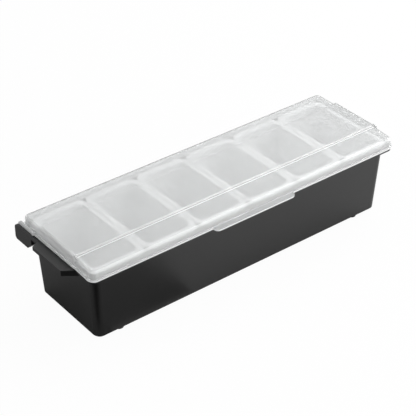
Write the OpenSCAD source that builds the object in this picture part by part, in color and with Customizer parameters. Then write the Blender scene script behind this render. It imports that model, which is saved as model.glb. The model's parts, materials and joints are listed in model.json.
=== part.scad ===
// Condiment caddy: a tray with six lift-out cups under a two-stage flip lid.
// Millimetres. X runs along the tray, -Y is the front, +Z is up.
// The origin is on the table, under the middle of the whole caddy.

/* [Base tray] */
// Length of the tray's underside
base_l = 451; // [420:1:500]
// Depth of the tray's underside, front to back
base_w = 123; // [108:1:140]
// Height of the tray from its underside to the top of its rim
base_h = 95.9; // [85:0.1:120]
// How far each wall leans out between the underside and the rim
base_lean = 4.6; // [3.5:0.1:8]
// Thickness of the tray's walls
base_wall = 2.5; // [1.6:0.1:2.8]
// Thickness of the tray's floor
base_floor = 3; // [2:0.1:5]
// Radius of the tray's upright corners at the underside
base_corner_r = 10; // [7:0.5:14]
// Size of the bevel round the underside
base_bevel = 2; // [1:0.1:3]

/* [Rim] */
// Thickness of the flat rim
rim_t = 3; // [2:0.1:4]
// How far the rim reaches past the cup seat
rim_reach = 4.2; // [3.5:0.1:7]
// Radius of the rim's corners in plan
rim_corner_r = 8; // [7:0.5:12]
// How far the cup seat stands outside the wall at the tray's ends
seat_step_end = 2.9; // [2.6:0.1:6]
// How far the cup seat stands outside the wall at the front and back
seat_step_side = 3.7; // [3:0.1:9]
// Height of the cup seat above the rim
seat_h = 4; // [3:0.1:5]
// Thickness of the cup seat
seat_wall = 2.5; // [2:0.1:3]

/* [End handles] */
// How far each handle reaches past the rim
handle_reach = 14.3; // [11:0.1:20]
// How far each handle reaches forward of the middle, along its outer edge
handle_front = 31; // [25:1:36]
// How far each handle reaches behind the middle, along its outer edge
handle_back = 29; // [20:1:32]
// Height of the lip that turns down along a handle's outer edge, with the rim
handle_lip_h = 5; // [4:0.1:8]
// Thickness of that lip
handle_lip_t = 2.4; // [1.8:0.1:3.5]
// Height of the wall that closes a handle's slanted front end, with the rim
handle_end_h = 7.5; // [5:0.1:9]
// How far a handle's slanted front end runs forward, from its outer edge to the rim
handle_flare = 10.5; // [4:0.5:13]
// How far a handle's back end runs back, from its outer edge to the ear
handle_tail = 4; // [2:0.5:8]

/* [Hinge] */
// Thickness of each hinge ear on the tray
ear_t = 3; // [2.6:0.1:4]
// How far the ears reach behind the rim
ear_reach = 8.5; // [8:0.1:10]
// How far the ears hang below the rim's top
ear_drop = 20.4; // [18:0.1:24]
// How far the ears rise above the rim's top
ear_rise = 1.6; // [0.5:0.1:2.5]
// How far an ear's lower front corner is cut back
ear_bevel = 9; // [5:0.5:12]
// Radius of an ear's upper back corner
ear_round = 6; // [3:0.5:8]
// Thickness of the web that ties an ear to the tray's wall
ear_web = 2.5; // [1.8:0.1:3]
// Radius of the lid's hinge pins
pin_r = 3; // [2:0.1:3.5]
// Length of the lid's hinge pins
pin_l = 2; // [1.5:0.1:2.2]
// Running clearance between a pin and its bore
pin_clearance = 0.05; // [0.03:0.01:0.1]
// How far the hinge line lies in from the rim's back edge
hinge_in = 1; // [0:0.1:1.5]
// How far the hinge line lies below the rim's top
hinge_below = 7.4; // [6.8:0.1:8]

/* [Feet] */
// Diameter of a foot
foot_d = 12; // [9:0.5:16]
// How far a foot stands out below the tray
foot_proud = 2.5; // [1.5:0.1:4]
// Depth of the socket that holds a foot
foot_socket = 1; // [0.6:0.1:1.4]
// Distance from the tray's end to a foot's middle
foot_end_in = 36; // [25:1:60]
// Distance from the tray's front or back to a foot's middle
foot_side_in = 8.1; // [8.1:0.1:20]

/* [Cups] */
// Thickness of a cup's walls and floor
cup_wall = 1.5; // [1:0.1:2]
// Thickness of a cup's rim
cup_rim_t = 2.5; // [1.5:0.1:3]
// Width of a cup's rim along its long sides
cup_rim_side = 6.6; // [6:0.1:8]
// Width of a cup's rim at its front and back
cup_rim_end = 9.4; // [8.5:0.1:12]
// Depth of a cup inside
cup_depth = 78; // [50:1:84]
// How far a cup's walls lean in between rim and floor
cup_lean = 5; // [4:0.1:8]
// Radius of a cup's rim corners in plan
cup_corner_r = 12; // [9:0.5:14]
// Space between the rims of two cups
cup_gap = 0.6; // [0.4:0.1:1.2]
// Space between the cups and the outside of their seat
cup_margin = 1.4; // [1:0.1:1.8]

/* [Lids] */
// Height of the raised middle above the underside of the lid's lip
lid_h = 17; // [15.5:0.1:24]
// Thickness of the lids' walls
lid_wall = 1.8; // [1.4:0.1:2]
// Thickness of the lids' tops
lid_top = 2; // [1.5:0.1:2.2]
// Space between the tray's rim and the lip of the main lid
lid_gap = 1.6; // [1.5:0.1:3]
// How far the lids' lip reaches past the tray's rim
lip_over = 1.4; // [1:0.1:2]
// How far the lip stands out from the lids' walls
lip_reach = 2.4; // [2.2:0.1:2.6]
// Thickness of the lip
lip_t = 2.2; // [1.4:0.1:3]
// Size of the rounding along the lids' upper edges
lid_round = 3; // [1.5:0.1:4]
// How far the raised middle reaches forward of the centre line
plateau_front = 38.3; // [30:0.1:46]
// How far the raised middle reaches behind the centre line
plateau_back = 35; // [25:0.5:48]
// How far the back part of the main lid lies below the raised middle
back_step = 3.4; // [2:0.1:4]
// Run of the slope between the raised middle and the back part
back_slope = 3.2; // [1:0.1:6]
// Thickness of the main lid's hinge arms
arm_t = 2.1; // [1.8:0.1:2.4]
// Half the width of a hinge arm's round end
arm_r = 6; // [5:0.1:6.5]
// Height of the hinge arms above the underside of the lip
arm_rise = 5; // [4:0.1:7]
// Length of a hinge arm's root, where it joins the lid
arm_root = 8; // [6:0.5:10]
// Length of the slit that frees a hinge arm, from its root to the hinge line
arm_slit = 19; // [16:0.5:24]

/* [Front lid] */
// How far the front lid slopes down at rest, in degrees
front_tilt = 3.5; // [2:0.1:3.7]
// Radius of the round edge that the front lid turns on
bead_r = 1.3; // [1.1:0.05:1.4]
// Radius of the main lid's cheeks, which hold that edge
cheek_r = 3.2; // [2.8:0.1:3.6]
// Depth of the front lid's skirt below its hinge line
front_skirt = 12.8; // [11:0.1:12.9]
// How far the finger tab stands out from the lip
tab_reach = 7.1; // [4:0.1:12]
// Length of the finger tab
tab_l = 126; // [60:1:200]
// Radius of the finger tab's corners
tab_corner_r = 6.5; // [2:0.5:12]

/* [Hidden] */
$fn = 48;

// Number of cups, and the running gaps that keep moving pieces apart
cups = 6;
side_gap = 0.3;
rim_to_arm = 0.4;
flap_gap = 0.4;
thin = 0.01;
cut = 1;

// Heights
tray_z = foot_proud;
rim_z = tray_z + base_h;
seat_z = rim_z + seat_h;
cup_z = seat_z + cup_rim_t;
lip_z = rim_z + lid_gap;
top_z = lip_z + lid_h;
back_z = top_z - back_step;

// Half sizes in plan, from the wall outwards
wall_x = base_l / 2 + base_lean;
wall_y = base_w / 2 + base_lean;
seat_x = wall_x + seat_step_end;
seat_y = wall_y + seat_step_side;
rim_x = seat_x + rim_reach;
rim_y = seat_y + rim_reach;
handle_x = rim_x + handle_reach;
handle_slope = handle_flare / handle_reach;
lip_x = rim_x + lip_over;
lip_y = rim_y + lip_over;
lid_x = lip_x - lip_reach;
lid_y = lip_y - lip_reach;
lip_corner_r = rim_corner_r + lip_over;
lid_corner_r = lip_corner_r - lip_reach;

// Main hinge: the arm runs outside the rim, and the ear outside the arm
hinge_y = rim_y - hinge_in;
hinge_z = rim_z - hinge_below;
arm_x = rim_x + rim_to_arm;
ear_x = arm_x + arm_t + side_gap;
ear_out = ear_x + ear_t;
ear_back = rim_y + ear_reach;
ear_front = hinge_y - arm_slit - arm_root;
ear_low = rim_z - ear_drop;
ear_high = rim_z + ear_rise;
bore_depth = pin_l + side_gap * 2 - side_gap / 2;

// Front hinge: the front lid's round back edge turns in the main lid's cheeks
flap_y = -(plateau_front + flap_gap + bead_r);
flap_z = top_z - cheek_r;
cheek_clearance = 0.5;
wall_lead = 0.5;
bead_room = 1.5;

// Cups, spread evenly over the seat
deck_x = seat_x - cup_margin;
deck_y = seat_y - cup_margin;
cup_pitch = (2 * deck_x + cup_gap) / cups;
cup_l = cup_pitch - cup_gap;
cup_w = 2 * deck_y;

// A rectangle in plan with true round corners
module rounded(l, w, r) {
    square([l - 2 * r, w], center = true);
    square([l, w - 2 * r], center = true);
    for (x = [-1, 1], y = [-1, 1])
        translate([x * (l / 2 - r), y * (w / 2 - r)])
            circle(r);
}

// A block that leans from one rounded rectangle at z0 to another at z1
module leaning(l0, w0, r0, z0, l1, w1, r1, z1) {
    hull() {
        translate([0, 0, z0])
            linear_extrude(thin)
                rounded(l0, w0, r0, $fn = 32);
        translate([0, 0, z1 - thin])
            linear_extrude(thin)
                rounded(l1, w1, r1, $fn = 32);
    }
}

// A block with a rounded upper edge, drawn as five slices of the rounding
module crowned(l, w, r, z0, z1, edge) {
    hull()
        for (a = [0:22.5:90]) {
            inset = edge * (1 - cos(a));
            translate([0, 0, z0])
                linear_extrude(z1 - z0 - edge * (1 - sin(a)))
                    rounded(l - 2 * inset, w - 2 * inset, max(r - inset, 1), $fn = 32);
        }
}

// An outline drawn in the Y-Z plane, made thick along X from x0 to x1
module across(x0, x1) {
    translate([x0, 0, 0])
        rotate([90, 0, 90])
            linear_extrude(x1 - x0)
                children();
}

// The same piece at the left end and at the right end
module both_ends() {
    children();
    mirror([1, 0, 0])
        children();
}

// Tray: leaning shell, flat rim, cup seat, end handles and hinge ears
module base_tray() {
    color("#2b2b2d")
        difference() {
            union() {
                shell_and_rim();
                seat();
                both_ends() {
                    handle();
                    ear();
                }
            }
            for (x = [-1, 1], y = [-1, 1])
                foot_place(x, y)
                    cylinder(r = foot_d / 2 + pin_clearance, h = foot_proud + foot_socket);
            both_ends()
                translate([ear_x - cut, hinge_y, hinge_z])
                    rotate([0, 90, 0])
                        cylinder(r = pin_r + pin_clearance, h = bore_depth + cut);
        }
}

// The inside is one cut through the shell and the rim
module shell_and_rim() {
    difference() {
        union() {
            leaning(base_l - 2 * base_bevel, base_w - 2 * base_bevel, base_corner_r - base_bevel, tray_z,
                base_l, base_w, base_corner_r, tray_z + base_bevel);
            leaning(base_l, base_w, base_corner_r, tray_z + base_bevel - thin,
                2 * wall_x, 2 * wall_y, base_corner_r, rim_z - thin);
            translate([0, 0, rim_z - rim_t])
                linear_extrude(rim_t)
                    rounded(2 * rim_x, 2 * rim_y, rim_corner_r);
        }
        leaning(base_l - 2 * base_wall, base_w - 2 * base_wall, base_corner_r - base_wall, tray_z + base_floor,
            2 * (wall_x - base_wall), 2 * (wall_y - base_wall), base_corner_r - base_wall, rim_z + cut);
    }
}

module seat() {
    outer_r = max(rim_corner_r - rim_reach, seat_wall + thin);
    translate([0, 0, rim_z - thin])
        linear_extrude(seat_h + thin)
            difference() {
                rounded(2 * seat_x, 2 * seat_y, outer_r);
                rounded(2 * (seat_x - seat_wall), 2 * (seat_y - seat_wall), outer_r - seat_wall);
            }
}

// How far forward a handle's slanted front end lies at a distance x from the middle
function slant_y(x) = -handle_front - handle_slope * (handle_x - x);

// Handle in plan: slanted ends, and a strip that runs back to the ear
module handle_outline() {
    root = wall_x - base_wall / 2;
    polygon([
        [root, slant_y(root)],
        [handle_x, -handle_front],
        [handle_x, handle_back],
        [ear_out, handle_back + handle_tail],
        [ear_out, ear_front + ear_web],
        [root, ear_front + ear_web]
    ]);
}

// The lip that turns down along a handle's outer edge and round its back end
module handle_lip_outline() {
    in = handle_lip_t;
    polygon([
        [handle_x, -handle_front],
        [handle_x, handle_back],
        [ear_out, handle_back + handle_tail],
        [ear_out, handle_back + handle_tail - 1.3 * in],
        [handle_x - in, handle_back - 0.75 * in],
        [handle_x - in, -handle_front]
    ]);
}

// The wall that closes a handle's slanted front end, from the tray's wall to the outer edge
module handle_end_outline() {
    root = wall_x - base_wall / 2;
    depth = handle_lip_t * sqrt(1 + handle_slope * handle_slope);
    polygon([
        [root, slant_y(root)],
        [handle_x, -handle_front],
        [handle_x, -handle_front + depth],
        [root, slant_y(root) + depth]
    ]);
}

module handle() {
    translate([0, 0, rim_z - rim_t])
        linear_extrude(rim_t)
            handle_outline();
    translate([0, 0, rim_z - handle_lip_h])
        linear_extrude(handle_lip_h)
            handle_lip_outline();
    translate([0, 0, rim_z - handle_end_h])
        linear_extrude(handle_end_h)
            handle_end_outline();
}

// Ear in side view: chamfered at the bottom front, rounded at the top back
module ear_outline() {
    r = ear_round;
    polygon([
        [ear_front, ear_low + ear_bevel],
        [ear_front + ear_bevel, ear_low],
        [ear_back - ear_web, ear_low],
        [ear_back, ear_low + ear_web],
        for (a = [0:15:90]) [ear_back - r + r * cos(a), ear_high - r + r * sin(a)],
        [ear_front + 2.5 * ear_rise, ear_high],
        [ear_front, rim_z]
    ]);
}

// The web under and in front of an ear, which ties it to the wall
module ear_web_outline() {
    inner = ear_bevel + ear_web * (sqrt(2) - 1);
    top = rim_z - rim_t / 2;
    polygon([
        [ear_front, top],
        [ear_front, ear_low + ear_bevel],
        [ear_front + ear_bevel, ear_low],
        [ear_back - ear_web, ear_low],
        [ear_back - ear_web, ear_low + ear_web],
        [ear_front + inner, ear_low + ear_web],
        [ear_front + ear_web, ear_low + inner],
        [ear_front + ear_web, top]
    ]);
}

module ear() {
    difference() {
        union() {
            across(ear_x, ear_out)
                ear_outline();
            across(wall_x - base_wall / 2, ear_x + thin)
                ear_web_outline();
        }
        leaning(base_l - base_wall, base_w - base_wall, base_corner_r - base_wall / 2, tray_z,
            2 * wall_x - base_wall, 2 * wall_y - base_wall, base_corner_r - base_wall / 2, rim_z + cut);
    }
}

// Feet: soft pads pressed into sockets under the tray
module foot_place(x, y) {
    translate([x * (base_l / 2 - foot_end_in), y * (base_w / 2 - foot_side_in), 0])
        children();
}

module foot(x, y) {
    edge = 0.6;
    color("#1c1c1d")
        foot_place(x, y)
            rotate_extrude()
                polygon([
                    [0, 0],
                    [foot_d / 2 - edge, 0],
                    [foot_d / 2, edge],
                    [foot_d / 2, foot_proud + foot_socket],
                    [0, foot_proud + foot_socket]
                ]);
}

// Cups: open at the top, hung by their rims on the seat
module cup(number) {
    open_l = cup_l - 2 * cup_rim_side;
    open_w = cup_w - 2 * cup_rim_end;
    open_r = cup_corner_r * 2 / 3;
    floor_z = cup_z - cup_depth;
    color("#e9eceb", 0.75)
        translate([(number - (cups + 1) / 2) * cup_pitch, 0, 0])
            difference() {
                union() {
                    translate([0, 0, seat_z])
                        linear_extrude(cup_rim_t)
                            rounded(cup_l, cup_w, cup_corner_r);
                    leaning(open_l + 2 * cup_wall - 2 * cup_lean, open_w + 2 * cup_wall - 2 * cup_lean,
                        open_r, floor_z - cup_wall,
                        open_l + 2 * cup_wall, open_w + 2 * cup_wall, open_r + cup_wall, seat_z + thin);
                }
                leaning(open_l - 2 * cup_lean, open_w - 2 * cup_lean, open_r - cup_wall, floor_z,
                    open_l, open_w, open_r, cup_z + thin);
            }
}

// Main lid: from the hinge at the back to the ridge in front of the middle
module main_lid() {
    color("#dfe7ea", 0.5)
        difference() {
            union() {
                main_shell();
                both_ends() {
                    arm();
                    cheek();
                }
            }
            both_ends()
                translate([lid_x - lid_wall - cut, flap_y, flap_z])
                    rotate([0, 90, 0])
                        cylinder(r = bead_r + pin_clearance, h = lid_wall + 2 * cut, $fn = 24);
        }
}

// Everything behind the ridge
module behind_ridge(lead) {
    translate([-lip_x - cut, -plateau_front + lead, 0])
        cube([2 * (lip_x + cut), plateau_front - lead + lip_y + cut, top_z + cut]);
}

module main_shell() {
    plateau_mid = (plateau_back - plateau_front) / 2;
    plateau_w = plateau_back + plateau_front;
    difference() {
        union() {
            intersection() {
                crowned(2 * lid_x, 2 * lid_y, lid_corner_r, lip_z, back_z, lid_round);
                behind_ridge(0);
            }
            plateau(lid_x, plateau_mid, plateau_w, lip_z + lip_t, top_z, 0);
            intersection() {
                translate([0, 0, lip_z])
                    linear_extrude(lip_t)
                        rounded(2 * lip_x, 2 * lip_y, lip_corner_r);
                behind_ridge(0);
            }
        }
        intersection() {
            crowned(2 * (lid_x - lid_wall), 2 * (lid_y - lid_wall), lid_corner_r - lid_wall,
                lip_z - cut, back_z - lid_top, lid_round);
            behind_ridge(lid_wall);
        }
        translate([-lid_x + lid_wall, -plateau_front - cut, lip_z - cut])
            cube([2 * (lid_x - lid_wall), lid_wall + 2 * cut, flap_z - bead_r - bead_room - lip_z + cut]);
        plateau(lid_x - lid_wall, plateau_mid, plateau_w, back_z - lid_top - cut, top_z - lid_top, lid_wall);
        both_ends()
            translate([lid_x, ear_front, lip_z - cut])
                cube([lip_reach + cut, lip_y - ear_front + cut, lip_t + 2 * cut]);
    }
}

// Raised middle: upright at the ridge, sloped down to the back part
module plateau(half_l, mid, w, z0, z1, inset) {
    edge = 1.2;
    front = mid - w / 2 + inset;
    back = mid + w / 2 - inset;
    intersection() {
        translate([-half_l, 0, 0])
            across(0, 2 * half_l)
                polygon([
                    [front, z0],
                    for (a = [0:22.5:90]) [front + edge * (1 - cos(a)), z1 - edge * (1 - sin(a))],
                    [back, z1],
                    [back + back_slope, z1 - back_step],
                    [back + back_slope, z0]
                ]);
        hull()
            for (a = [0:22.5:90]) {
                reach = half_l - lid_round * (1 - cos(a));
                translate([-reach, -lip_y, z0])
                    cube([2 * reach, 2 * lip_y, z1 - z0 - lid_round * (1 - sin(a))]);
            }
    }
}

// Hinge arm: a springy finger beside the end wall, with a pin on its outer face
module arm() {
    arm_top = lip_z + arm_rise;
    bar_low = rim_z + (lid_gap + ear_rise) / 4;
    across(arm_x, arm_x + arm_t) {
        translate([hinge_y, hinge_z])
            circle(arm_r);
        translate([hinge_y - arm_r, hinge_z])
            square([2 * arm_r, arm_top - arm_r - hinge_z]);
        translate([hinge_y, arm_top - arm_r])
            circle(arm_r);
        translate([ear_front + side_gap, bar_low])
            square([hinge_y - ear_front - side_gap, arm_top - bar_low]);
    }
    translate([lid_x - lid_wall / 2, ear_front + side_gap, lip_z])
        cube([arm_x + thin - lid_x + lid_wall / 2, arm_root - side_gap, arm_rise]);
    translate([arm_x + arm_t - thin, hinge_y, hinge_z])
        rotate([0, 90, 0])
            cylinder(r = pin_r, h = side_gap + pin_l + thin);
}

// Cheek: a round lug on the end wall, in front of the ridge
module cheek() {
    across(lid_x - lid_wall, lid_x) {
        translate([flap_y, flap_z])
            circle(cheek_r);
        translate([flap_y, flap_z - cheek_r])
            square([bead_r + flap_gap + lid_wall, 2 * cheek_r]);
    }
}

// Front lid: drawn level about its hinge line, then tilted down
module front_lid() {
    color("#dfe7ea", 0.5)
        translate([0, flap_y, flap_z])
            rotate([front_tilt, 0, 0]) {
                difference() {
                    union() {
                        flap_shell();
                        flap_lip();
                    }
                    both_ends()
                        translate([lid_x - lid_wall - side_gap / 2, 0, 0])
                            rotate([0, 90, 0])
                                cylinder(r = cheek_r + cheek_clearance, h = lid_wall + lip_reach + cut);
                }
                translate([-lid_x, 0, 0])
                    rotate([0, 90, 0])
                        cylinder(r = bead_r, h = 2 * lid_x, $fn = 24);
            }
}

// How far the front lid's lip reaches forward of the hinge line, before it is tilted
flap_sway = (front_skirt - lip_t) * sin(front_tilt);
flap_lip_y = (lip_y + flap_y + flap_sway) / cos(front_tilt);
flap_tab_y = (lip_y + tab_reach + flap_y + flap_sway) / cos(front_tilt);
flap_lip_z = -front_skirt;
flap_top_z = lid_top / 2;

// Everything in front of the front lid's back edge
module ahead_of_hinge(lead) {
    translate([-lip_x - cut, -flap_lip_y - cut, flap_lip_z - cut])
        cube([2 * (lip_x + cut), flap_lip_y + cut + lead, front_skirt + flap_top_z + 2 * cut]);
}

module flap_shell() {
    depth = flap_lip_y - lip_reach;
    difference() {
        intersection() {
            crowned(2 * lid_x, 2 * depth, lid_corner_r, flap_lip_z, flap_top_z, lid_round);
            ahead_of_hinge(wall_lead);
        }
        crowned(2 * (lid_x - lid_wall), 2 * (depth - lid_wall), lid_corner_r - lid_wall,
            flap_lip_z - cut, flap_top_z - lid_top, lid_round);
        translate([-lid_x - cut, 0, -bead_r])
            cube([2 * (lid_x + cut), wall_lead + cut, 2 * bead_r + cut]);
    }
}

module flap_lip() {
    difference() {
        intersection() {
            translate([0, 0, flap_lip_z])
                linear_extrude(lip_t)
                    rounded(2 * lip_x, 2 * flap_lip_y, lip_corner_r);
            ahead_of_hinge(wall_lead);
        }
        translate([0, 0, flap_lip_z - cut])
            linear_extrude(lip_t + 2 * cut)
                rounded(2 * (lid_x - lid_wall / 2), 2 * (flap_lip_y - lip_reach - lid_wall / 2),
                    lid_corner_r - lid_wall / 2);
    }
    r = min(tab_corner_r, tab_reach);
    translate([0, 0, flap_lip_z])
        linear_extrude(lip_t)
            polygon([
                [-tab_l / 2, -flap_lip_y + lip_reach / 2],
                for (a = [180:15:270]) [-tab_l / 2 + r + r * cos(a), -flap_tab_y + r + r * sin(a)],
                for (a = [270:15:360]) [tab_l / 2 - r + r * cos(a), -flap_tab_y + r + r * sin(a)],
                [tab_l / 2, -flap_lip_y + lip_reach / 2]
            ]);
}

base_tray();
foot(-1, -1);  // foot_front_left
foot(1, -1);  // foot_front_right
foot(-1, 1);  // foot_back_left
foot(1, 1);  // foot_back_right
cup(1);  // cup_1
cup(2);  // cup_2
cup(3);  // cup_3
cup(4);  // cup_4
cup(5);  // cup_5
cup(6);  // cup_6
main_lid();
front_lid();
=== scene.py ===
"""Finishes the condiment caddy in its real plastics.

It has a black tray, milky cups and a clear lid in two parts.

Sizes are in metres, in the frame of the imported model: X along the tray, -Y the front, Z up.
"""

import json
import math

import bmesh
import bpy
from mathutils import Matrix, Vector


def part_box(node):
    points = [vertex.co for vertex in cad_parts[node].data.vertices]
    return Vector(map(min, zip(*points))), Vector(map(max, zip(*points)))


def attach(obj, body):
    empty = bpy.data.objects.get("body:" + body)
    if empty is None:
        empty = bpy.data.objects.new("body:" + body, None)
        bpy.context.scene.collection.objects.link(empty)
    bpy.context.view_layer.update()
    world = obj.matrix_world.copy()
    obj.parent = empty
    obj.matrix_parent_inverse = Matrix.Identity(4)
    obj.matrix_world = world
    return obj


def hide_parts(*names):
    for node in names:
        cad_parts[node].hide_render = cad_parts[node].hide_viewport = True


bl_info = {
    "name": "Condiment caddy",
    "version": (1, 0, 0),
    "blender": (4, 5, 0),
    "location": "View3D > Sidebar > Caddy",
    "description": "A long tray with lift-out cups under a flip lid in two parts",
    "category": "Object",
}

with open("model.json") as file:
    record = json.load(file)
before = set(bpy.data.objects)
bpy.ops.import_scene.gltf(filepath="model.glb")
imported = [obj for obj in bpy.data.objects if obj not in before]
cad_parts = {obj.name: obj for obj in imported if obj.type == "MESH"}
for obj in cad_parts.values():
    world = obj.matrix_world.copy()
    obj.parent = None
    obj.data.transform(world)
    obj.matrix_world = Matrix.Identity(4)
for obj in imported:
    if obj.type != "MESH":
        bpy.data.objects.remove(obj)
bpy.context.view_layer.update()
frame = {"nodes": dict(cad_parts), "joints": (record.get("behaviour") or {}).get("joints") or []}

CUPS = [name for name in sorted(frame["nodes"]) if name.startswith("cup_")]
FEET = [name for name in sorted(frame["nodes"]) if name.startswith("foot_")]

# How a CAD node's mesh is read: points this near are one, and edges this flat lie inside a face
MERGE_DISTANCE = 0.00004
FLAT_ANGLE = math.radians(0.4)
# Edges sharper than this get a small rounding
SHARP_ANGLE = math.radians(32)
# Edges that are still sharper than this are shaded as creases
CREASE_ANGLE = math.radians(48)
# Heights this near are the same
SAME_HEIGHT = 0.0001
# A face is level where its normal's upward part, without its sign, is above this
LEVEL_NORMAL = 0.96

# The soft lamps: the length of a side, and the place. Both point at the middle of the caddy.
KEY_LIGHT = (1.8, Vector((1.7, 0.2, 1.7)))
SIDE_LIGHT = (2.0, Vector((0.75, -1.3, 0.5)))
LAMP_AIM = Vector((0, 0, 0.06))
# The cards around the left end, which stand for the shade on the floor there and paint dark
# reflections on the glossy tray: name, shade, lowest and highest corner, height above the floor
CARDS = (
    ("grey_card", 0.32, (-1.2, -1.1), (-0.08, -0.07), 0.0001),
    ("pale_card", 0.42, (-1.2, -0.07), (-0.2, 0.7), 0.0001),
    ("black_card", 0.01, (-1.2, -1.1), (-0.235, -0.075), 0.0003),
)
# How strongly the paper glows to the camera and through the lids, and in reflections
PAPER_GLOW = 0.96
MIRRORED_GLOW = 0.1
CAMERA_PLACE = (-0.9137, -1.1474, 1.0653)
CAMERA_VIEW = Vector((0.5102, 0.6491, -0.5642))
SENSOR_WIDTH = 36.0


def linear(colour):
    """An sRGB hex colour as linear red, green and blue."""
    channels = [int(colour[i : i + 2], 16) / 255 for i in (1, 3, 5)]
    return tuple(c / 12.92 if c <= 0.04045 else ((c + 0.055) / 1.055) ** 2.4 for c in channels)


# Sizes and colours


class TraySettings(bpy.types.PropertyGroup):
    """The black tray and its feet."""

    colour: bpy.props.FloatVectorProperty(
        name="Tray colour",
        description="Colour of the black plastic",
        subtype="COLOR",
        size=3,
        default=linear("#0f0f0f"),
    )
    edge: bpy.props.FloatProperty(
        name="Edge radius",
        description="Size of the rounding on the tray's moulded edges",
        subtype="DISTANCE",
        default=0.0006,
    )
    grain: bpy.props.FloatProperty(
        name="Grain",
        description="Width of one grain of the tray's satin surface",
        subtype="DISTANCE",
        default=0.0007,
    )
    foot_colour: bpy.props.FloatVectorProperty(
        name="Foot colour",
        description="Colour of the rubber feet",
        subtype="COLOR",
        size=3,
        default=linear("#121212"),
    )


class CupSettings(bpy.types.PropertyGroup):
    """The lift-out cups."""

    colour: bpy.props.FloatVectorProperty(
        name="Cup colour",
        description="Colour of the milky plastic",
        subtype="COLOR",
        size=3,
        default=linear("#f7f8f8"),
    )
    edge: bpy.props.FloatProperty(
        name="Edge radius",
        description="Size of the rounding on the cups' edges",
        subtype="DISTANCE",
        default=0.0006,
    )
    clearness: bpy.props.FloatProperty(
        name="Clearness",
        description="Share of the light that goes through a cup's wall",
        subtype="FACTOR",
        min=0,
        max=1,
        default=0.06,
    )


class LidSettings(bpy.types.PropertyGroup):
    """Both parts of the lid."""

    colour: bpy.props.FloatVectorProperty(
        name="Lid colour",
        description="Tint of the clear plastic",
        subtype="COLOR",
        size=3,
        default=linear("#eff0f0"),
    )
    edge: bpy.props.FloatProperty(
        name="Edge radius",
        description="Size of the rounding on the lids' sharp edges",
        subtype="DISTANCE",
        default=0.0006,
    )
    ridge_edge: bpy.props.FloatProperty(
        name="Rear ridge radius",
        description="Size of the rounding at the back edge of the raised middle",
        subtype="DISTANCE",
        default=0.0018,
    )
    clearness: bpy.props.FloatProperty(
        name="Clearness",
        description="Share of the light that goes through a lid's top, where the rest is haze",
        subtype="FACTOR",
        min=0,
        max=1,
        default=0.68,
    )
    # Painted sheen: the upright walls, roundings and ridge get a hazier copy of the plastic, so
    # that they look whiter, as if lit.
    painted_sheen_clearness: bpy.props.FloatProperty(
        name="Skirt clearness",
        description="The same share at the upright walls, roundings and ridge, which look whiter",
        subtype="FACTOR",
        min=0,
        max=1,
        default=0.55,
    )
    # Painted highlight: the lip's rim, the tab and the hinge bead get a nearly opaque copy, so that
    # they show as bright lines, though no lamp lights them so.
    painted_highlight_clearness: bpy.props.FloatProperty(
        name="Rim clearness",
        description="The same share at the lip's rim, the tab and the hinge bead, which glow",
        subtype="FACTOR",
        min=0,
        max=1,
        default=0.03,
    )
    roughness: bpy.props.FloatProperty(
        name="Roughness",
        description="How much the lids blur what is behind them",
        subtype="FACTOR",
        min=0,
        max=1,
        default=0.06,
    )


class StageSettings(bpy.types.PropertyGroup):
    """The floor, the lights and the camera."""

    floor_colour: bpy.props.FloatVectorProperty(
        name="Floor colour",
        description="Colour of the plain floor",
        subtype="COLOR",
        size=3,
        default=linear("#f2f2f2"),
    )
    floor_size: bpy.props.FloatProperty(
        name="Floor size",
        description="Length of the square floor's sides",
        subtype="DISTANCE",
        default=9.0,
    )
    key_power: bpy.props.FloatProperty(
        name="Key light",
        description="Power of the soft light above the right end, in watts",
        default=32.0,
    )
    side_power: bpy.props.FloatProperty(
        name="Side light",
        description="Power of the soft light in front of the right end, in watts",
        default=16.0,
    )
    sky_strength: bpy.props.FloatProperty(
        name="Sky",
        description="Strength of the even light from all round",
        default=0.5,
    )
    lens: bpy.props.FloatProperty(
        name="Focal length",
        description="Focal length of the camera, in millimetres",
        default=121.36,
    )


# Materials


def add(tree, kind, inputs=None, **settings):
    """Adds a node to the tree.

    An input is set to its value, or linked where the value is a socket.
    """
    node = tree.nodes.new(kind)
    for name, value in settings.items():
        setattr(node, name, value)
    for name, value in (inputs or {}).items():
        if isinstance(value, bpy.types.NodeSocket):
            tree.links.new(value, node.inputs[name])
        else:
            node.inputs[name].default_value = value
    return node


def new_material(name):
    """An empty material and its output node."""
    material = bpy.data.materials.new(name)
    material.use_nodes = True
    material.node_tree.nodes.clear()
    output = add(material.node_tree, "ShaderNodeOutputMaterial")
    return material, material.node_tree, output


def patches(tree, width, detail):
    """A noise pattern that is fixed to the piece, in patches of about a width."""
    place = add(tree, "ShaderNodeTexCoord").outputs["Object"]
    noise = add(
        tree,
        "ShaderNodeTexNoise",
        {"Vector": place, "Scale": 1 / width, "Detail": detail},
    )
    return noise.outputs["Fac"]


def spread(tree, pattern, low, high, pattern_low=0.0, pattern_high=1.0):
    """Stretches a part of a pattern's range over the values from low to high."""
    values = add(
        tree,
        "ShaderNodeMapRange",
        {
            "Value": pattern,
            "From Min": pattern_low,
            "From Max": pattern_high,
            "To Min": low,
            "To Max": high,
        },
    )
    return values.outputs["Result"]


def plastic_shader(tree, colour, roughness, refraction, clearness=0.0):
    """The shader of a plastic or rubber, which lets a share of the light through."""
    return add(
        tree,
        "ShaderNodeBsdfPrincipled",
        {
            "Base Color": (*colour, 1),
            "Roughness": roughness,
            "IOR": refraction,
            "Transmission Weight": clearness,
        },
    )


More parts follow.
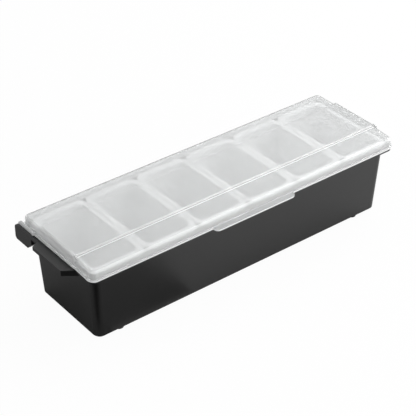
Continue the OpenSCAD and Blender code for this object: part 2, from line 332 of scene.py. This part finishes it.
def moulded_black_abs(colour, grain):
    # ABS, injection moulded in a spark-eroded tool. Its fine even grain breaks reflections up into
    # a soft grey sheen, which changes a little over some 90 mm. The real grain is near 0.05 mm, and
    # is drawn coarser so that it shows.
    flow_width = 0.09
    grain_depth = 0.00008
    material, tree, output = new_material("moulded_black_abs")
    sheen = spread(tree, patches(tree, flow_width, 3.0), 0.34, 0.40, 0.3, 0.7)
    relief = add(
        tree,
        "ShaderNodeBump",
        {"Height": patches(tree, grain, 2.0), "Strength": 0.18, "Distance": grain_depth},
    )
    shader = plastic_shader(tree, colour, sheen, 1.53)
    tree.links.new(relief.outputs["Normal"], shader.inputs["Normal"])
    tree.links.new(shader.outputs["BSDF"], output.inputs["Surface"])
    return material


def moulded_rubber(colour):
    # Soft black rubber, moulded in a plain tool. It is dull, with a faint bloom in spots of 4 mm.
    bloom_width = 0.004
    material, tree, output = new_material("moulded_rubber")
    dullness = spread(tree, patches(tree, bloom_width, 3.0), 0.7, 0.9)
    shader = plastic_shader(tree, colour, dullness, 1.52)
    tree.links.new(shader.outputs["BSDF"], output.inputs["Surface"])
    return material


def milky_polypropylene(colour, clearness):
    # Natural polypropylene, injection moulded. It is milky, because its crystals scatter light, and
    # its walls let a soft light through. The surface is satin, with faint flow marks about 12 mm
    # apart.
    flow_width = 0.012
    material, tree, output = new_material("milky_polypropylene")
    satin = spread(tree, patches(tree, flow_width, 2.0), 0.26, 0.38)
    shader = plastic_shader(tree, colour, satin, 1.49, clearness)
    tree.links.new(shader.outputs["BSDF"], output.inputs["Surface"])
    return material


def clear_styrene(name, colour, clearness, roughness):
    # Clear styrene plastic, injection moulded and polished, a little hazy from washing. What lies
    # behind the walls looks washed out. Copies of it with less clearness paint a whiter sheen and
    # bright highlight lines on chosen edges of the lids. Lamps shine through it, so that the cups
    # are lit. Wiping leaves marks some 35 mm wide.
    wipe_width = 0.035
    smoothest, roughest = roughness * 0.8, roughness * 1.2
    lamp_share = 0.93
    material, tree, output = new_material(name)
    haze = spread(tree, patches(tree, wipe_width, 4.0), smoothest, roughest)
    shader = plastic_shader(tree, colour, haze, 1.57, clearness)
    path = add(tree, "ShaderNodeLightPath")
    opening = add(
        tree, "ShaderNodeBsdfTransparent", {"Color": (lamp_share, lamp_share, lamp_share, 1)}
    )
    mix = add(tree, "ShaderNodeMixShader", {0: path.outputs["Is Shadow Ray"]})
    tree.links.new(shader.outputs["BSDF"], mix.inputs[1])
    tree.links.new(opening.outputs["BSDF"], mix.inputs[2])
    tree.links.new(mix.outputs["Shader"], output.inputs["Surface"])
    return material


def seamless_paper(colour):
    # White background paper: a plain matte floor. To the camera and through the lids it glows as
    # lit paper does, and keeps a soft shadow. Reflections see more of its real shading.
    material, tree, output = new_material("seamless_paper")
    path = add(tree, "ShaderNodeLightPath")
    straight = add(
        tree,
        "ShaderNodeMath",
        {0: path.outputs["Is Camera Ray"], 1: path.outputs["Is Transmission Ray"]},
        operation="MAXIMUM",
    )
    mirrored = add(
        tree,
        "ShaderNodeMath",
        {0: path.outputs["Is Glossy Ray"], 1: MIRRORED_GLOW},
        operation="MULTIPLY",
    )
    glow = add(
        tree,
        "ShaderNodeMath",
        {0: straight.outputs["Value"], 1: PAPER_GLOW, 2: mirrored.outputs["Value"]},
        operation="MULTIPLY_ADD",
    )
    matte = add(tree, "ShaderNodeBsdfDiffuse", {"Color": (*colour, 1)})
    light = add(tree, "ShaderNodeEmission", {"Color": (1, 1, 1, 1), "Strength": 1.0})
    mix = add(
        tree,
        "ShaderNodeMixShader",
        {0: glow.outputs["Value"], 1: matte.outputs["BSDF"], 2: light.outputs["Emission"]},
    )
    tree.links.new(mix.outputs["Shader"], output.inputs["Surface"])
    return material


def painted_reflection_card(name, shade):
    # A dull card that only reflections see. It paints dark reflections of the shade that the floor
    # beside the caddy would have onto the glossy black plastic, so that its edges show dark.
    material, tree, output = new_material(name)
    dark_reflection = add(tree, "ShaderNodeBsdfDiffuse", {"Color": (shade, shade, shade, 1)})
    tree.links.new(dark_reflection.outputs["BSDF"], output.inputs["Surface"])
    return material


def seen_directly(tree):
    """A socket that is 1 for a camera, glossy or transmission ray, and 0 for the others."""
    path = add(tree, "ShaderNodeLightPath")
    first = add(
        tree,
        "ShaderNodeMath",
        {0: path.outputs["Is Camera Ray"], 1: path.outputs["Is Glossy Ray"]},
        operation="MAXIMUM",
    )
    both = add(
        tree,
        "ShaderNodeMath",
        {0: first.outputs["Value"], 1: path.outputs["Is Transmission Ray"]},
        operation="MAXIMUM",
    )
    return both.outputs["Value"]


# Forms


def sharp_edges(form):
    """The edges of a form at which a moulding has a small rounding."""
    return [e for e in form.edges if len(e.link_faces) == 2 and e.calc_face_angle(0) > SHARP_ANGLE]


def round_edges(form, edges, radius, segments):
    """Rounds some edges of a form."""
    bmesh.ops.bevel(
        form,
        geom=edges,
        offset=radius,
        offset_type="OFFSET",
        segments=segments,
        profile=0.5,
        affect="EDGES",
        clamp_overlap=True,
        material=-1,
    )


def moulded_copy(node, name, edge, materials, body, zone=None, soft=None, soft_edge=0.0):
    """Makes a copy of a CAD node with its sharp edges rounded, which stands for that node.

    The edges that soft picks get a rounding of their own. Where zone is given, only outer edges are
    rounded, and zone gives the number of a face's material.
    """
    form = bmesh.new()
    form.from_mesh(frame["nodes"][node].data)
    bmesh.ops.remove_doubles(form, verts=form.verts, dist=MERGE_DISTANCE)
    bmesh.ops.dissolve_degenerate(form, edges=form.edges, dist=MERGE_DISTANCE)
    bmesh.ops.dissolve_limit(
        form, angle_limit=FLAT_ANGLE, verts=form.verts, edges=form.edges, delimit=set()
    )
    if soft:
        softened = [e for e in sharp_edges(form) if soft(e)]
        round_edges(form, softened, soft_edge, segments=4)
    rounded = [e for e in sharp_edges(form) if e.is_convex or not zone]
    round_edges(form, rounded, edge, segments=2)
    if zone:
        form.normal_update()
        for face in form.faces:
            face.material_index = zone(face.calc_center_median(), face.normal)
    bmesh.ops.triangulate(form, faces=[f for f in form.faces if len(f.verts) > 4])
    mesh = bpy.data.meshes.new(name)
    form.to_mesh(mesh)
    form.free()
    mesh.shade_smooth()
    mesh.set_sharp_from_angle(angle=CREASE_ANGLE)
    piece = bpy.data.objects.new(name, mesh)
    bpy.context.scene.collection.objects.link(piece)
    for material in materials:
        mesh.materials.append(material)
    even = piece.modifiers.new("Even shading", "WEIGHTED_NORMAL")
    even.keep_sharp = True
    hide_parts(node)
    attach(piece, body)


def lid_highlight_zones():
    """A rule for a lid's faces, which gives the number of their plastic.

    0 is clear. 1 is the skirt, the roundings and the ridge beside the front hinge, in a hazier copy
    that paints a whiter sheen on them. 2 is the lip's rim, the finger tab and the hinge bead, in a
    nearly opaque copy that paints them as bright highlight lines. Rises and reaches beside the
    hinge are from its axis.
    """
    lip_height = 0.0024
    tab_reach = 0.0068
    bead_reach = 0.0013
    bead_rise = 0.0004
    ridge_front, ridge_back = -0.0014, 0.0034
    ridge_rise = 0.0008
    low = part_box("front_lid")[0]
    hinge = next(j for j in frame["joints"] if j["name"] == "front_lid_hinge")
    _, hinge_y, hinge_z = hinge["pos_m"]

    def zone(spot, normal):
        level = abs(normal.z) > LEVEL_NORMAL
        behind = spot.y - hinge_y
        above = spot.z - hinge_z
        if spot.y < low.y + tab_reach:
            return 2
        if spot.z < low.z + lip_height:
            return 0 if level else 2
        if above > bead_rise and abs(behind) < bead_reach:
            return 2
        on_ridge = above > ridge_rise and ridge_front < behind < ridge_back
        return 1 if on_ridge or not level else 0

    return zone


def rear_ridge():
    """A test of whether an edge is the back edge of the main lid's raised middle."""
    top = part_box("main_lid")[1].z

    def soft(edge):
        return all(v.co.z > top - SAME_HEIGHT and v.co.y > 0 for v in edge.verts)

    return soft


def dress(node, material):
    """Gives a CAD node, which keeps its own form, a material."""
    mesh = frame["nodes"][node].data
    mesh.materials.clear()
    mesh.materials.append(material)


def flat_sheet(name, low, high, height, material):
    """Lays a level sheet of the stage between two corners, and returns it."""
    form = bmesh.new()
    bmesh.ops.create_grid(form, x_segments=1, y_segments=1, size=0.5)
    bmesh.ops.scale(form, vec=(high[0] - low[0], high[1] - low[1], 1), verts=form.verts)
    middle = ((low[0] + high[0]) / 2, (low[1] + high[1]) / 2, height)
    bmesh.ops.translate(form, vec=middle, verts=form.verts)
    mesh = bpy.data.meshes.new(name)
    form.to_mesh(mesh)
    form.free()
    mesh.materials.append(material)
    sheet = bpy.data.objects.new(name, mesh)
    bpy.context.scene.collection.objects.link(sheet)
    return sheet


# Operators


class CADDY_OT_tray(bpy.types.Operator):
    """Finish the black tray with its rim, handles and hinge ears"""

    bl_idname = "caddy.tray"
    bl_label = "Tray"
    bl_options = {"REGISTER", "UNDO"}

    def execute(self, context):
        look = context.scene.caddy_tray
        plastic = moulded_black_abs(look.colour, look.grain)
        moulded_copy("base_tray", "tray_moulding", look.edge, [plastic], "base")
        return {"FINISHED"}


class CADDY_OT_feet(bpy.types.Operator):
    """Finish the rubber feet under the tray"""

    bl_idname = "caddy.feet"
    bl_label = "Feet"
    bl_options = {"REGISTER", "UNDO"}

    def execute(self, context):
        rubber = moulded_rubber(context.scene.caddy_tray.foot_colour)
        for foot in FEET:
            dress(foot, rubber)
        return {"FINISHED"}


class CADDY_OT_cups(bpy.types.Operator):
    """Finish the lift-out cups"""

    bl_idname = "caddy.cups"
    bl_label = "Cups"
    bl_options = {"REGISTER", "UNDO"}

    def execute(self, context):
        look = context.scene.caddy_cups
        plastic = milky_polypropylene(look.colour, look.clearness)
        for cup in CUPS:
            moulded_copy(cup, cup + "_moulding", look.edge, [plastic], cup)
        return {"FINISHED"}


class CADDY_OT_lids(bpy.types.Operator):
    """Finish both parts of the clear lid"""

    bl_idname = "caddy.lids"
    bl_label = "Lids"
    bl_options = {"REGISTER", "UNDO"}

    def execute(self, context):
        look = context.scene.caddy_lids
        # The second and third plastics are hazier copies, which paint sheen and highlights on the
        # lids' edges.
        plastics = [
            clear_styrene("hazy_clear_styrene", look.colour, look.clearness, look.roughness),
            clear_styrene("painted_sheen_styrene", look.colour, look.painted_sheen_clearness, look.roughness),
            clear_styrene("painted_highlight_styrene", look.colour, look.painted_highlight_clearness, look.roughness),
        ]
        zone = lid_highlight_zones()
        moulded_copy(
            "main_lid",
            "main_lid_moulding",
            look.edge,
            plastics,
            "main_lid",
            zone=zone,
            soft=rear_ridge(),
            soft_edge=look.ridge_edge,
        )
        moulded_copy(
            "front_lid",
            "front_lid_moulding",
            look.edge,
            plastics,
            "front_lid",
            zone=zone,
        )
        return {"FINISHED"}


class CADDY_OT_stage(bpy.types.Operator):
    """Set up the floor, the lights, the sky and the camera"""

    bl_idname = "caddy.stage"
    bl_label = "Stage"
    bl_options = {"REGISTER", "UNDO"}

    def execute(self, context):
        look = context.scene.caddy_stage
        self.make_floor(look)
        self.make_cards()
        self.make_lights(look)
        self.make_sky(context.scene, look)
        self.make_camera(context.scene, look)
        context.scene.view_settings.view_transform = "Standard"
        return {"FINISHED"}

    def make_floor(self, look):
        half = look.floor_size / 2
        paper = seamless_paper(look.floor_colour)
        flat_sheet("floor", (-half, -half), (half, half), 0, paper)

    def make_cards(self):
        """Lays grey and black cards that only reflections see: painted dark reflections of the
        floor's shade on the glossy black plastic.
        """
        for name, shade, low, high, height in CARDS:
            card = flat_sheet(name, low, high, height, painted_reflection_card(name + "_painted_reflection", shade))
            card.visible_camera = False
            card.visible_diffuse = False
            card.visible_transmission = False
            card.visible_shadow = False

    def make_lights(self, look):
        lamps = (
            ("key_light", look.key_power, *KEY_LIGHT),
            ("side_light", look.side_power, *SIDE_LIGHT),
        )
        for name, power, size, place in lamps:
            data = bpy.data.lights.new(name, "AREA")
            data.energy = power
            data.size = size
            lamp = bpy.data.objects.new(name, data)
            lamp.location = place
            lamp.rotation_euler = (LAMP_AIM - place).to_track_quat("-Z", "Y").to_euler()
            bpy.context.scene.collection.objects.link(lamp)

    def make_sky(self, scene, look):
        world = bpy.data.worlds.new("sky")
        scene.world = world
        world.use_nodes = True
        tree = world.node_tree
        tree.nodes.clear()
        strength = add(
            tree,
            "ShaderNodeMapRange",
            {"Value": seen_directly(tree), "To Min": look.sky_strength, "To Max": 1.0},
        )
        light = add(
            tree,
            "ShaderNodeBackground",
            {"Color": (1, 1, 1, 1), "Strength": strength.outputs["Result"]},
        )
        add(tree, "ShaderNodeOutputWorld", {"Surface": light.outputs["Background"]})

    def make_camera(self, scene, look):
        data = bpy.data.cameras.new("camera")
        data.lens = look.lens
        data.sensor_width = SENSOR_WIDTH
        camera = bpy.data.objects.new("camera", data)
        camera.location = CAMERA_PLACE
        camera.rotation_mode = "QUATERNION"
        camera.rotation_quaternion = CAMERA_VIEW.to_track_quat("-Z", "Y")
        scene.collection.objects.link(camera)
        scene.camera = camera


class CADDY_PT_panel(bpy.types.Panel):
    """The steps that finish the caddy, in order."""

    bl_label = "Condiment caddy"
    bl_idname = "CADDY_PT_panel"
    bl_space_type = "VIEW_3D"
    bl_region_type = "UI"
    bl_category = "Caddy"

    def draw(self, context):
        scene = context.scene
        groups = (
            (scene.caddy_stage, ("caddy.stage",)),
            (scene.caddy_tray, ("caddy.tray", "caddy.feet")),
            (scene.caddy_cups, ("caddy.cups",)),
            (scene.caddy_lids, ("caddy.lids",)),
        )
        for look, steps in groups:
            box = self.layout.box()
            for name in look.__annotations__:
                box.prop(look, name)
            for step in steps:
                box.operator(step)


SETTINGS = {
    "caddy_tray": TraySettings,
    "caddy_cups": CupSettings,
    "caddy_lids": LidSettings,
    "caddy_stage": StageSettings,
}
CLASSES = (
    *SETTINGS.values(),
    CADDY_OT_tray,
    CADDY_OT_feet,
    CADDY_OT_cups,
    CADDY_OT_lids,
    CADDY_OT_stage,
    CADDY_PT_panel,
)


def register():
    for cls in CLASSES:
        bpy.utils.register_class(cls)
    for name, group in SETTINGS.items():
        setattr(bpy.types.Scene, name, bpy.props.PointerProperty(type=group))


def unregister():
    for name in SETTINGS:
        delattr(bpy.types.Scene, name)
    for cls in reversed(CLASSES):
        bpy.utils.unregister_class(cls)


def main():
    """Makes every piece."""
    register()
    bpy.ops.caddy.stage()
    bpy.ops.caddy.tray()
    bpy.ops.caddy.feet()
    bpy.ops.caddy.cups()
    bpy.ops.caddy.lids()
    bpy.context.view_layer.update()


if __name__ == "__main__":
    main()
